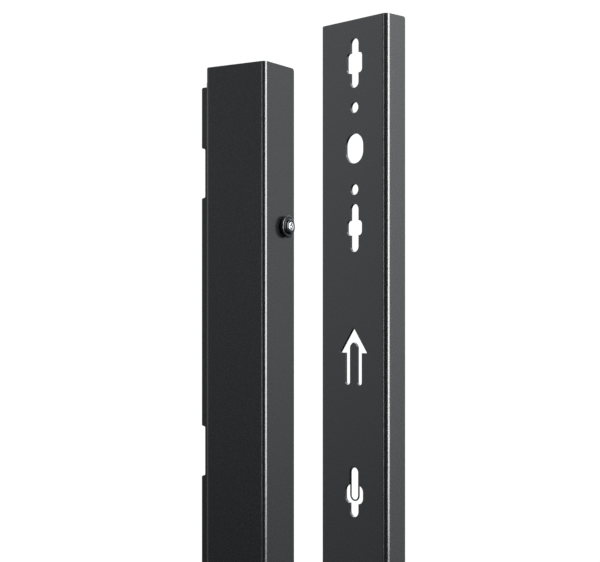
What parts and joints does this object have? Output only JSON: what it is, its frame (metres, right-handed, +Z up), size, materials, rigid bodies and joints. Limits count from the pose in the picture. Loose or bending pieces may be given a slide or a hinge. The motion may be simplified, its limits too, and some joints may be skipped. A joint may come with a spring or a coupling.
{
  "type": "vertical cable manager",
  "caption": "Full-height folded steel cable bars for a rack side: a channel with a notched strap lip and stepped hanging buttons, and an angle bar with cross, oval and hook slots.",
  "frame": {"origin": "centre of the pair's footprint, at the foot of the bars", "axes": "+Z up along the bars; the slotted bar's face looks along -Y and its flange runs back along +Y; the channel bar stands to its left, turned 14.2 degrees anticlockwise seen from above"},
  "size_m": [0.2046, 0.0746, 1.8288],
  "materials": {
    "black_powder_coat": "black powder coat, fine texture, semi-matt",
    "black_zinc": "black zinc plated turned steel, satin",
    "bright_zinc": "bright zinc plated steel"
  },
  "bodies": {
    "root": {"channel_bar": "black_powder_coat", "slotted_bar": "black_powder_coat", "button_collar_1": "black_zinc", "button_screw_1": "bright_zinc", "lock_washer_1": "bright_zinc", "button_nut_1": "bright_zinc", "button_collar_2": "black_zinc", "button_screw_2": "bright_zinc", "lock_washer_2": "bright_zinc", "button_nut_2": "bright_zinc", "button_collar_3": "black_zinc", "button_screw_3": "bright_zinc", "lock_washer_3": "bright_zinc", "button_nut_3": "bright_zinc", "button_collar_4": "black_zinc", "button_screw_4": "bright_zinc", "lock_washer_4": "bright_zinc", "button_nut_4": "bright_zinc"}
  },
  "joints": []
}
